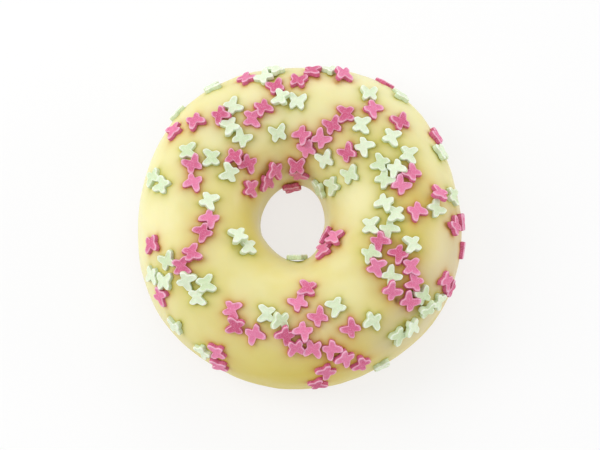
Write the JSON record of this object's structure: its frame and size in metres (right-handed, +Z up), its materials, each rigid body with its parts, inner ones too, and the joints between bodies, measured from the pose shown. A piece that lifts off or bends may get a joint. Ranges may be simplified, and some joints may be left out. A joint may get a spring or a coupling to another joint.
{
  "type": "ring doughnut",
  "caption": "Ring doughnut dipped in smooth pale yellow icing and strewn with small pressed pink and mint sugar butterflies.",
  "frame": {"origin": "middle of the outline, butterflies included, at the height of the flat base it rests on", "axes": "+Z up from the base to the iced top; -Y is the side nearest the camera in the picture and +X is its right"},
  "size_m": [0.0935, 0.0948, 0.0343],
  "materials": {
    "dough": "golden brown fried dough, dry and slightly wrinkled",
    "icing": "smooth set icing with a soft sheen",
    "pink_sugar": "pressed sugar, matt and faintly powdery",
    "mint_sugar": "pressed sugar, matt and faintly powdery"
  },
  "bodies": {
    "root": {"dough": "dough", "icing": "icing"}
  },
  "joints": []
}
